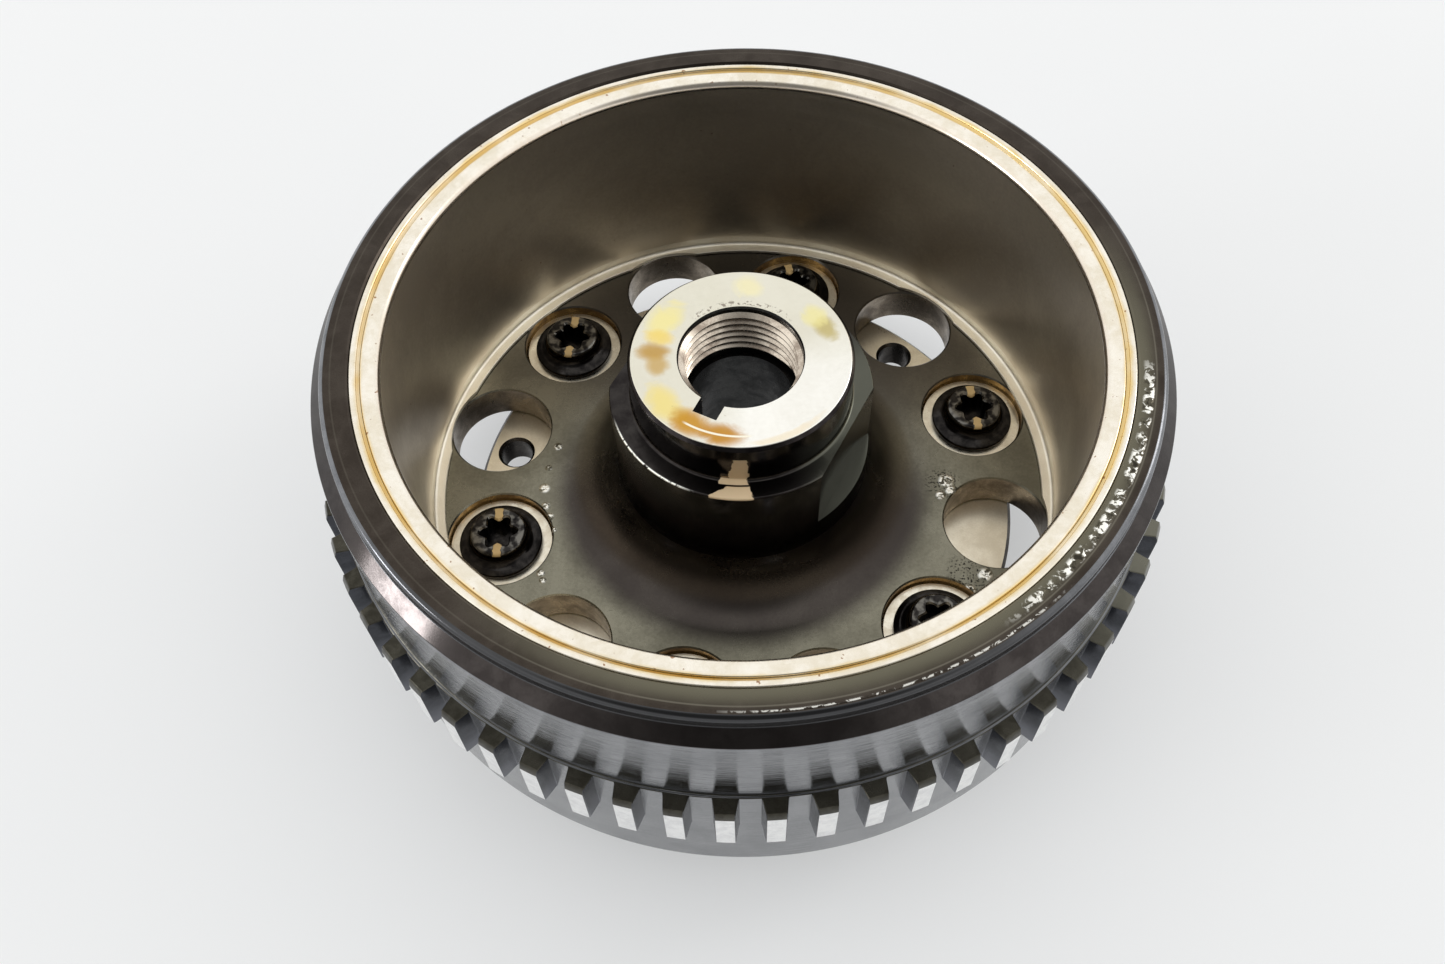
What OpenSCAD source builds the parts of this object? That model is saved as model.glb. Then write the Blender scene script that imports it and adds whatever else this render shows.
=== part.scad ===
// Alternator rotor of a small engine with its starter one-way clutch.
// The part stands on the clutch housing, mouth upwards: origin on the axis at the standing face, +Z up.
// Depths are measured down from the rim's top face.

/* [Overall] */
// Height from the standing face to the rim
total_h = 66; // [64:0.5:70]
// Height of the cup, rim to lower edge
cup_h = 50; // [49:0.5:52]

/* [Cup] */
// Radius of the cup's bore, which the magnets sit in
cup_bore_r = 60; // [59.95:0.01:60.05]
// Outer radius of the rim below its chamfer
rim_r = 66.7; // [66:0.1:67]
// Outer radius of the flat top face of the rim
rim_face_r = 64.5; // [63:0.1:65]
// Outer radius of the wall between and below the teeth
wall_r = 67.2; // [67:0.1:67.6]
// Depth of the web's upper face
web_top = 42.3; // [41.8:0.1:42.6]
// Thickness of the web
web_t = 7.1; // [6.5:0.1:7.1]

/* [Trigger teeth] */
// Number of tooth places round the rim
tooth_places = 60; // [36:6:72]
// Tooth places left empty for the timing gap
gap_places = 2; // [1:1:3]
// Tip radius of the teeth
tooth_tip_r = 70; // [69:0.1:71]
// Width of a tooth at its tip
tooth_tip_w = 2.95; // [2:0.05:3.2]
// Width of a tooth at its root
tooth_root_w = 3.8; // [3.4:0.1:4.2]
// Depth of the upper ends of the teeth
tooth_top = 22; // [20:0.5:24]
// Height of the teeth
tooth_h = 11.3; // [8:0.1:14]

/* [Hub] */
// Radius of the bright end face
hub_face_r = 17.5; // [17:0.1:17.8]
// Depth of the end face
hub_face = 7.7; // [6:0.1:9]
// Radius of the neck under the end face
neck_r = 18.1; // [18:0.1:18.6]
// Depth of the shoulder between neck and barrel
shoulder = 15.9; // [15:0.1:17]
// Radius of the barrel
barrel_r = 21.7; // [21:0.1:22]
// Radius of the blend between barrel and web
hub_blend_r = 10; // [8:0.5:10]
// Distance of the two wrench flats from the axis
flat_d = 19.3; // [19:0.1:20]
// Depth of the lower ends of the flats
flat_end = 29.3; // [26:0.1:30]
// Radius of the puller thread
thread_r = 10; // [9.5:0.1:10]
// Length of the puller thread
thread_len = 11; // [9:0.5:12]
// Small radius of the crankshaft taper
taper_r = 8.6; // [8:0.1:8.8]
// Width of the keyway
key_w = 4.1; // [3:0.1:5]
// Radius that the keyway reaches
key_r = 12.9; // [12.5:0.1:13.5]

/* [Web holes] */
// Radius of the circle that the windows lie on
window_circle_r = 45.7; // [45.5:0.1:46]
// Radius of a window
window_r = 9.1; // [8:0.1:9.1]
// Radius of the circle that the screws lie on
screw_circle_r = 44.6; // [44.4:0.1:44.8]
// Radius of the counterbores
counterbore_r = 9.2; // [9:0.1:9.2]
// Depth of a counterbore below the web's face
counterbore_d = 1.8; // [1.5:0.1:2.2]

/* [Clutch housing] */
// Outer radius of the housing
housing_r = 49.2; // [49:0.1:50]
// Radius of the outer race
race_r = 31.5; // [31.5:0.1:31.6]
// Radius of the recess for the cage's flange
recess_r = 34.8; // [34.8:0.1:35]
// Radius of the small holes through the housing
small_hole_r = 2.95; // [2.5:0.05:3.2]
// Radius of the circle of the small holes
small_circle_r = 44; // [43.8:0.1:44.2]

/* [One-way clutch] */
// Number of sprags
sprag_count = 16; // [14:2:16]
// Radial height of a sprag
sprag_h = 7.1; // [7:0.05:7.1]
// Width of a sprag
sprag_w = 4.6; // [4.2:0.1:4.6]

/* [Hidden] */
$fn = 128;

eps = 0.5;
hole_count = 6;
web_under = web_top + web_t;
window_turn = 46.6;
screw_turn = 16.6;
flat_turn = -28;
key_turn = 243.5;
tooth_turn = 3.5;
tooth_pitch = 360 / tooth_places;
first_gap = 19;

boss_r = 19;
boss_end = 52;
rim_edge_r = 62;
chamfer = 0.5;

magnet_count = 12;
magnet_in_r = 56.2;
spacer_top = 1.8;
magnet_out_r = cup_bore_r - 0.1;
magnet_top = 3.5;
magnet_foot = 38.4;
magnet_arc = 26;
magnet_turn = 360 / magnet_count;

liner_in_r = 55.4;
liner_t = 0.7;
liner_foot_r = 53.4;
foot_bend = 1.4;
scallop_r = 15;
scallop_reach = 54.6;

screw_head_r = 7.3;
screw_top_r = 4.9;
screw_head_h = 4.3;
flange_h = 1.2;
flange_dip_r = 1.6;
shank_r = 3.95;
screw_hole_r = 4.4;
screw_len = 20;
socket_r = 3.3;
socket_lobe_r = 0.85;
socket_d = 3.2;

housing_top = total_h - web_under;
recess_d = 1.6;
tapped_r = 4;
relief_r = 40;
relief_h = housing_top - 6.2;
relief_angle = 32;
ring_groove_r = 33;
ring_groove_z = 1.8;
ring_groove_h = 1.2;
ring_gap = 8;

outer_cage_r = 31.2;
cage_t = 1;
flange_r = 34.5;
flange_t = 1;
inner_cage_r = 26.5;
cage_foot = 3.3;
cage_window_w = 5.8;
cage_window_foot = 4.5;
cage_window_h = 10.2;
sprag_circle_r = 27.8;
sprag_foot = 4.8;
sprag_len = 9.6;
waist_w = 3;
tab_h = 1.1;
sprag_pitch = 360 / sprag_count;
spring_r = 28.9;
wire_r = 0.5;
spring_offset = 0.7;

// Name of one of a row of like pieces, such as magnet_03
function numbered(name, k) = str(name, k < 10 ? "_0" : "_", k);

// Point at a depth below the rim, for the profiles turned round the axis
function at(r, depth) = [r, total_h - depth];

// Points on an arc about a centre, in degrees
function arc(centre, r, from, to, steps) = [
    for (i = [0:steps])
        let (turn = from + (to - from) * i / steps)
            centre + r * [cos(turn), sin(turn)]
];

module tube(outer, inner, from, to) {
    translate([0, 0, from]) difference() {
        cylinder(r = outer, h = to - from);
        translate([0, 0, -eps]) cylinder(r = inner, h = to - from + 2 * eps);
    }
}

module around(count, circle_r, turn) {
    for (k = [0:count - 1]) rotate(turn + k * 360 / count) translate([circle_r, 0, 0]) children();
}

// Solid of hub, web and rim, without its holes
module forging_profile() {
    polygon(concat(
        [at(0, boss_end), at(boss_r - chamfer, boss_end), at(boss_r, boss_end - chamfer)],
        [at(boss_r, web_under + 1), at(boss_r + 1, web_under), at(rim_edge_r - 1, web_under)],
        [at(rim_edge_r, cup_h), at(wall_r - 0.6, cup_h), at(wall_r, cup_h - 0.6)],
        [at(wall_r, tooth_top + 0.1), at(wall_r - 0.1, tooth_top)],
        [at(rim_r, tooth_top), at(rim_r, 4.35), at(rim_face_r, 2.4)],
        arc(at(rim_face_r - 1, 1), 1, 0, 90, 8),
        [at(cup_bore_r + 0.3, 0), at(cup_bore_r, 0.3), at(cup_bore_r, web_top)],
        arc(at(barrel_r + hub_blend_r, web_top - hub_blend_r), hub_blend_r, 270, 180, 24),
        [at(barrel_r, shoulder + 0.4), at(barrel_r - 0.4, shoulder)],
        arc(at(neck_r + 0.6, shoulder - 0.6), 0.6, 270, 180, 6),
        [at(neck_r, hub_face + 0.7), at(hub_face_r, hub_face), at(0, hub_face)]
    ));
}

module tooth_outline() {
    polygon([
        [wall_r - 2, -tooth_root_w / 2 - 0.5], [wall_r - 0.1, -tooth_root_w / 2 - 0.45],
        [wall_r + 0.25, -tooth_root_w / 2], [wall_r + 0.8, -tooth_root_w / 2 + 0.3],
        [tooth_tip_r + 1, -tooth_tip_w / 2 + 0.08], [tooth_tip_r + 1, tooth_tip_w / 2 - 0.08],
        [wall_r + 0.8, tooth_root_w / 2 - 0.3], [wall_r + 0.25, tooth_root_w / 2],
        [wall_r - 0.1, tooth_root_w / 2 + 0.45], [wall_r - 2, tooth_root_w / 2 + 0.5]
    ]);
}

module trigger_teeth() {
    translate([0, 0, total_h - tooth_top - tooth_h]) linear_extrude(tooth_h) intersection() {
        union() {
            for (k = [0:tooth_places - 1])
                if (k < first_gap || k >= first_gap + gap_places)
                    rotate(tooth_turn + k * tooth_pitch) tooth_outline();
        }
        circle(r = tooth_tip_r);
    }
}

module hub_bores() {
    translate([0, 0, total_h - hub_face - thread_len]) cylinder(r = thread_r, h = thread_len + eps);
    translate([0, 0, total_h - hub_face - 0.9]) cylinder(r1 = thread_r, r2 = thread_r + 0.25, h = 0.9);
    taper_top = hub_face + thread_len;
    taper_len = boss_end - taper_top;
    translate([0, 0, total_h - boss_end])
        cylinder(r1 = taper_r + taper_len / 10, r2 = taper_r, h = taper_len);
    rotate(key_turn) translate([0, -key_w / 2, total_h - boss_end - eps])
        cube([key_r, key_w, boss_end - hub_face + 2 * eps]);
}

module wrench_flats() {
    for (side = [0, 180])
        rotate(flat_turn + side) translate([flat_d, -barrel_r, total_h - flat_end])
            cube([barrel_r, 2 * barrel_r, flat_end - hub_face]);
}

// Windows, and the stepped holes of the clutch screws between them
module web_holes() {
    translate([0, 0, total_h - web_under - eps]) {
        around(hole_count, window_circle_r, window_turn) cylinder(r = window_r, h = web_t + 2 * eps);
        around(hole_count, screw_circle_r, screw_turn) cylinder(r = screw_hole_r, h = web_t);
    }
    translate([0, 0, total_h - web_top - counterbore_d])
        around(hole_count, screw_circle_r, screw_turn)
            cylinder(r = counterbore_r, h = counterbore_d + eps);
}

// One-piece forging: hub, web, rim and trigger teeth
module flywheel_body() {
    color("#46413c") difference() {
        union() {
            rotate_extrude() forging_profile();
            trigger_teeth();
        }
        hub_bores();
        wrench_flats();
        web_holes();
    }
}

module liner_profile() {
    lip_r = 1.35;
    foot = at(liner_in_r + liner_t - foot_bend, web_top - 0.1 - foot_bend);
    polygon(concat(
        arc(at(liner_in_r + lip_r, 0.6 + lip_r), lip_r, 180, 90, 10),
        [at(58, 0.6)],
        arc(at(58, 0.95), 0.35, 90, -90, 8),
        arc(at(liner_in_r + lip_r, 0.6 + lip_r), lip_r - liner_t, 90, 180, 8),
        arc(foot, foot_bend, 0, -90, 10),
        [at(liner_foot_r, web_top - 0.1), at(liner_foot_r, web_top - 0.1 - liner_t)],
        arc(foot, foot_bend - liner_t, -90, 0, 10)
    ));
}

// Pressed stainless cover over the magnets, with a rolled lip and a scalloped foot
module magnet_cover() {
    color("#9a9080") difference() {
        rotate_extrude() liner_profile();
        translate([0, 0, total_h - web_top - eps])
            around(hole_count, scallop_reach - scallop_r, window_turn) cylinder(r = scallop_r, h = 3);
    }
}

// Pale ring that closes the gap between the cover's lip and the rim
module mouth_ring() {
    color("#e8dcc4") rotate_extrude() polygon(concat(
        [at(58.7, 1.5)],
        arc(at(59.1, 0.6), 0.4, 180, 90, 6),
        arc(at(cup_bore_r - 0.45, 0.6), 0.4, 90, 0, 6),
        [at(cup_bore_r - 0.05, 1.5)]
    ));
}

// Ring with fingers that keeps the magnets apart
module magnet_spacer() {
    color("#b9a88a") {
        tube(magnet_out_r, magnet_in_r, total_h - magnet_top + 0.1, total_h - spacer_top);
        difference() {
            tube(magnet_out_r, magnet_in_r, total_h - magnet_foot, total_h - magnet_top + 0.1);
            for (k = [0:magnet_count - 1]) rotate(k * magnet_turn) magnet_gap();
        }
    }
}

// Room that a magnet takes in the spacer, with a little play
module magnet_gap() {
    translate([0, 0, total_h - magnet_foot - eps]) linear_extrude(magnet_foot - magnet_top + 0.05 + eps)
        sector(magnet_out_r + 1, magnet_arc + 0.4);
}

// Slice of a circle about the X axis, with three straight outer corners
module sector(r, angle) {
    far = r / cos(angle / 4);
    corner = far * [cos(angle / 2), sin(angle / 2)];
    polygon([[0, 0], [corner.x, -corner.y], [1.02 * far, 0], corner]);
}

module magnet(k) {
    color("#55565a") rotate((k - 1) * magnet_turn) intersection() {
        tube(magnet_out_r, magnet_in_r, total_h - magnet_foot, total_h - magnet_top);
        translate([0, 0, total_h - magnet_foot - eps])
            linear_extrude(magnet_foot) sector(magnet_out_r + 1, magnet_arc);
    }
}

// Flanged screw with a lobed socket; its origin is the seat face
module flanged_screw() {
    difference() {
        rotate_extrude() polygon(concat(
            [[0, -screw_len], [shank_r - 0.6, -screw_len], [shank_r, -screw_len + 0.6], [shank_r, 0]],
            [[screw_head_r, 0], [screw_head_r, flange_h - 0.4], [screw_head_r - 0.4, flange_h]],
            arc([screw_top_r + flange_dip_r, flange_h + 0.3 + flange_dip_r], flange_dip_r, 270, 180, 8),
            [[screw_top_r, screw_head_h - 0.6], [screw_top_r - 0.6, screw_head_h], [0, screw_head_h]]
        ));
        translate([0, 0, screw_head_h - socket_d]) linear_extrude(socket_d + eps) socket_outline();
    }
}

// Six-lobed socket
module socket_outline() {
    circle(r = socket_r - 0.75);
    for (k = [0:5]) rotate(k * 60) translate([socket_r - socket_lobe_r, 0]) circle(r = socket_lobe_r);
}

// Six screws that hold the clutch housing under the web
module clutch_screws() {
    color("#2a2826") translate([0, 0, total_h - web_top - counterbore_d])
        around(hole_count, screw_circle_r, screw_turn) flanged_screw();
}

module housing_profile() {
    polygon([
        [race_r, ring_groove_z + ring_groove_h], [race_r, housing_top - recess_d],
        [recess_r, housing_top - recess_d], [recess_r, housing_top],
        [housing_r - 0.6, housing_top], [housing_r, housing_top - 0.6],
        [housing_r, 0.8], [housing_r - 0.8, 0], [race_r + 0.5, 0], [race_r, 0.5],
        [race_r, ring_groove_z], [ring_groove_r, ring_groove_z],
        [ring_groove_r, ring_groove_z + ring_groove_h]
    ]);
}

// Hollows under the housing's flange, between the screws
module housing_reliefs() {
    translate([0, 0, -eps]) linear_extrude(relief_h + eps) difference() {
        for (k = [0:hole_count - 1])
            rotate(window_turn + k * 360 / hole_count) sector(housing_r + 2, relief_angle);
        circle(r = relief_r);
    }
}

// Outer race of the one-way clutch, bolted under the web
module clutch_housing() {
    color("#b5a888") difference() {
        rotate_extrude() housing_profile();
        housing_reliefs();
        translate([0, 0, -eps]) around(3, small_circle_r, window_turn)
            cylinder(r = small_hole_r, h = housing_top + 2 * eps);
        translate([0, 0, housing_top - 0.5]) around(3, small_circle_r, window_turn)
            cylinder(r1 = small_hole_r, r2 = small_hole_r + 0.5, h = 0.5);
        translate([0, 0, -eps]) around(hole_count, screw_circle_r, screw_turn)
            cylinder(r = tapped_r, h = housing_top + 2 * eps);
    }
}

// Open wire ring under the clutch unit
module retaining_ring() {
    color("#6a6a6c") difference() {
        tube(ring_groove_r - 0.3, race_r - 1.2, ring_groove_z + 0.1, ring_groove_z + ring_groove_h - 0.1);
        rotate(90) translate([0, -ring_gap / 2, 0]) cube([ring_groove_r, ring_gap, housing_top]);
    }
}

module cage_windows(from_r) {
    around(sprag_count, from_r, 0) translate([0, -cage_window_w / 2, cage_window_foot])
        cube([5, cage_window_w, cage_window_h]);
}

// Outer cage with the flange that sits in the housing's recess
module clutch_outer_cage() {
    flange_foot = housing_top - recess_d + 0.3;
    color("#8f8a7c") difference() {
        union() {
            tube(outer_cage_r, outer_cage_r - cage_t, cage_foot, flange_foot + flange_t);
            tube(flange_r, outer_cage_r - cage_t, flange_foot, flange_foot + flange_t);
        }
        cage_windows(outer_cage_r - 3);
    }
}

module clutch_inner_cage() {
    color("#8f8a7c") difference() {
        tube(inner_cage_r, inner_cage_r - cage_t, cage_foot + 0.2, sprag_foot + sprag_len + 1.3);
        cage_windows(inner_cage_r - 3);
    }
}

module sprag_outline() {
    difference() {
        intersection() {
            circle(r = sprag_h / 2);
            square([sprag_h, sprag_w], center = true);
        }
        translate([0.45, waist_w / 2 + 2.5]) circle(r = 2.5);
        translate([-0.45, -waist_w / 2 - 2.5]) circle(r = 2.5);
    }
}

// Wedge between the races, with a tab at each end for the garter springs
module sprag(k) {
    color("#74777c") rotate((k - 1) * sprag_pitch) translate([sprag_circle_r, 0, 0]) {
        translate([0, 0, sprag_foot]) linear_extrude(sprag_len) sprag_outline();
        translate([-0.9, -1.2, sprag_foot - tab_h]) cube([1, 2.4, sprag_len + 2 * tab_h]);
    }
}

module garter_spring(z) {
    color("#a3a5a8") translate([0, 0, z]) rotate_extrude()
        translate([spring_r, 0]) circle(r = wire_r, $fn = 32);
}

module garter_spring_upper() {
    garter_spring(sprag_foot + sprag_len + spring_offset);
}

module garter_spring_lower() {
    garter_spring(sprag_foot - spring_offset);
}

flywheel_body();
magnet_cover();
mouth_ring();
magnet_spacer();
for (k = [1:magnet_count]) magnet(k);
clutch_screws();
clutch_housing();
retaining_ring();
clutch_outer_cage();
clutch_inner_cage();
garter_spring_upper();
garter_spring_lower();
for (k = [1:sprag_count]) sprag(k);
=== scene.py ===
"""Looks of the alternator rotor and its starter one-way clutch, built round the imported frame.

Lengths in this script are millimetres until a mesh is made; MM turns them into metres.
Depths are measured down from the rim's top face, as in the part's own source.
"""
import math

import bmesh
import bpy
from mathutils import Matrix, Vector


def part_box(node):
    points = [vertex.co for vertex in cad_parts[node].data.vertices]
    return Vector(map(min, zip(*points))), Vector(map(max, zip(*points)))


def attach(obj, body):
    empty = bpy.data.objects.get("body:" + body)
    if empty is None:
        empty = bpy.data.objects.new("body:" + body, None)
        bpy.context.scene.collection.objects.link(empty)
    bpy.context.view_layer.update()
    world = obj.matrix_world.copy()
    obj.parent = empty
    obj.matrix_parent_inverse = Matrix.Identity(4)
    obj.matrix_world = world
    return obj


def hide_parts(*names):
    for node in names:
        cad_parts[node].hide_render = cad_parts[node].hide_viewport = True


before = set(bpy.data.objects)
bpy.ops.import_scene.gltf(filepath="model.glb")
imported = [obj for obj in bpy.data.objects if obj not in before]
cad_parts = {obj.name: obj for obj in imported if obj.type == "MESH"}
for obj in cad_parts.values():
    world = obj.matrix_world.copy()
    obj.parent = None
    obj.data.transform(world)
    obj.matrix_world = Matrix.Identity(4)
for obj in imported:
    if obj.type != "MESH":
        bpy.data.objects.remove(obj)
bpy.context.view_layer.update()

MM = 0.001
TAU = 2 * math.pi
RIM_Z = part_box("flywheel_body")[1].z / MM
TIP_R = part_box("flywheel_body")[1].x / MM

# Driving sizes, as in the CAD part
CUP_H, CUP_BORE_R, RIM_R, RIM_FACE_R, WALL_R = 50.0, 60.0, 66.7, 64.5, 67.2
WEB_TOP, WEB_UNDER = 42.3, 49.4
TOOTH_PLACES, GAPS, TOOTH_TOP, TOOTH_H, TOOTH_TURN, TIP_DROP = 60, (19, 20), 22.0, 11.3, 3.5, 1.3
HUB_FACE_R, HUB_FACE, NECK_R, SHOULDER, BARREL_R, HUB_BLEND_R = 17.5, 7.7, 18.1, 15.9, 21.7, 10.0
FLAT_D, FLAT_END, FLAT_TURN = 19.3, 29.3, -28.0
THREAD_R, THREAD_LEN, TAPER_R, KEY_W, KEY_R, KEY_TURN = 10.0, 11.0, 8.6, 4.1, 12.9, 243.5
BOSS_R, BOSS_END, RIM_EDGE_R = 19.0, 52.0, 62.0
WINDOW_CIRCLE_R, WINDOW_R, WINDOW_TURN = 45.7, 9.1, 46.6
SCREW_CIRCLE_R, SCREW_TURN, COUNTERBORE_R, COUNTERBORE_D, SCREW_HOLE_R = 44.6, 16.6, 9.2, 1.8, 4.4
SEAT = WEB_TOP + COUNTERBORE_D
LINER_R, LINER_T, LINER_FOOT_R, FOOT_BEND, FOOT_BLEND = 55.4, 0.7, 53.4, 1.4, 39.6
SCALLOP_R, SCALLOP_REACH = 15.0, 54.6
HOUSING_R, RACE_R, RECESS_R, RECESS_D = 49.2, 31.5, 34.8, 1.6
SMALL_HOLE_R, SMALL_CIRCLE_R, TAPPED_R = 2.95, 44.0, 4.0
RELIEF_R, RELIEF_H, RELIEF_HALF = 40.0, 10.4, 16.0
RIM_STEP, CHAMFER_END = 2.3, 4.7
GROOVE_R, GROOVE_Z, GROOVE_H = 33.0, 1.8, 1.2
HOUSING_TOP = RIM_Z - WEB_UNDER
OUTER_CAGE_R, CAGE_T, FLANGE_R, INNER_CAGE_R, CAGE_FOOT = 31.2, 1.0, 34.5, 26.5, 3.3
SPRAG_COUNT, SPRAG_H, SPRAG_W, SPRAG_CIRCLE_R, SPRAG_FOOT, SPRAG_LEN = 16, 7.1, 4.6, 27.8, 4.8, 9.6
SPRING_R, WIRE_R = 28.9, 0.5
SIX = range(6)


# ---------------------------------------------------------------- meshes

def at(r, depth):
    """Point of a turned profile at a depth below the rim."""
    return (r, RIM_Z - depth)


def arc(centre, r, start, end, steps):
    """Points on an arc, in degrees, both ends included."""
    turns = [math.radians(start + (end - start) * i / steps) for i in range(steps + 1)]
    return [(centre[0] + r * math.cos(t), centre[1] + r * math.sin(t)) for t in turns]


def new_object(name, verts, faces):
    """Mesh object at the frame's origin, from points in millimetres."""
    mesh = bpy.data.meshes.new(name)
    mesh.from_pydata([[c * MM for c in v] for v in verts], [], faces)
    obj = bpy.data.objects.new(name, mesh)
    bpy.context.scene.collection.objects.link(obj)
    return obj


def face_outwards(obj):
    bm = bmesh.new()
    bm.from_mesh(obj.data)
    bmesh.ops.recalc_face_normals(bm, faces=bm.faces)
    bm.to_mesh(obj.data)
    bm.free()
    return obj


def revolve(name, profile, segments=384, centre=(0.0, 0.0)):
    """Closed solid turned from a closed profile of (r, z); points on the axis become poles."""
    verts, rows = [], []
    for r, z in profile:
        row = []
        for k in range(segments if r > 1e-6 else 1):
            a = TAU * k / segments
            row.append(len(verts))
            verts.append((centre[0] + r * math.cos(a), centre[1] + r * math.sin(a), z))
        rows.append(row)
    faces = []
    for low, high in zip(rows, rows[1:] + rows[:1]):
        for k in range(segments):
            n = (k + 1) % segments
            if len(low) > 1 and len(high) > 1:
                faces.append((low[k], low[n], high[n], high[k]))
            elif len(low) > 1:
                faces.append((low[k], low[n], high[0]))
            elif len(high) > 1:
                faces.append((low[0], high[n], high[k]))
    return face_outwards(new_object(name, verts, faces))


def loft(name, rings):
    """Closed solid through rings of equal point counts, capped at both ends."""
    n = len(rings[0])
    verts = [p for ring in rings for p in ring]
    faces = [tuple(range(n)), tuple(range(len(verts) - n, len(verts)))]
    for k in range(len(rings) - 1):
        for i in range(n):
            j = (i + 1) % n
            faces.append((k * n + i, k * n + j, (k + 1) * n + j, (k + 1) * n + i))
    return face_outwards(new_object(name, verts, faces))


def prism(name, outline, low, high):
    return loft(name, [[(x, y, z) for x, y in outline] for z in (low, high)])


def turned(obj, degrees, shift=(0.0, 0.0, 0.0)):
    """Shifts an object's mesh, in millimetres, then turns it about the rotor's axis."""
    move = Matrix.Rotation(math.radians(degrees), 4, "Z") @ Matrix.Translation(Vector(shift) * MM)
    obj.data.transform(move)
    return obj


def join(name, objects):
    """One object from several, whose solids stay separate."""
    bm = bmesh.new()
    for o in objects:
        bm.from_mesh(o.data)
    mesh = bpy.data.meshes.new(name)
    bm.to_mesh(mesh)
    bm.free()
    for o in objects:
        bpy.data.objects.remove(o)
    obj = bpy.data.objects.new(name, mesh)
    bpy.context.scene.collection.objects.link(obj)
    return obj


def boolean(obj, tool, operation):
    """Applies a boolean with another object, which is then removed."""
    m = obj.modifiers.new("cut", "BOOLEAN")
    m.object = tool
    m.operation = operation
    m.solver = "MANIFOLD"
    graph = bpy.context.evaluated_depsgraph_get()
    mesh = bpy.data.meshes.new_from_object(obj.evaluated_get(graph))
    mesh.materials.clear()
    obj.modifiers.clear()
    obj.data = mesh
    bpy.data.objects.remove(tool)
    return obj


def smooth(obj, degrees=30):
    """Smooth shading: edges sharper than the angle stay crisp, wide faces keep their own direction."""
    obj.data.polygons.foreach_set("use_smooth", [True] * len(obj.data.polygons))
    obj.data.set_sharp_from_angle(angle=math.radians(degrees))
    weigh = obj.modifiers.new("weigh", "WEIGHTED_NORMAL")
    weigh.keep_sharp = True
    graph = bpy.context.evaluated_depsgraph_get()
    mesh = bpy.data.meshes.new_from_object(obj.evaluated_get(graph))
    obj.modifiers.clear()
    obj.data = mesh
    return obj


def polar(r, degrees):
    return (r * math.cos(math.radians(degrees)), r * math.sin(math.radians(degrees)))


# ---------------------------------------------------------------- materials

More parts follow.
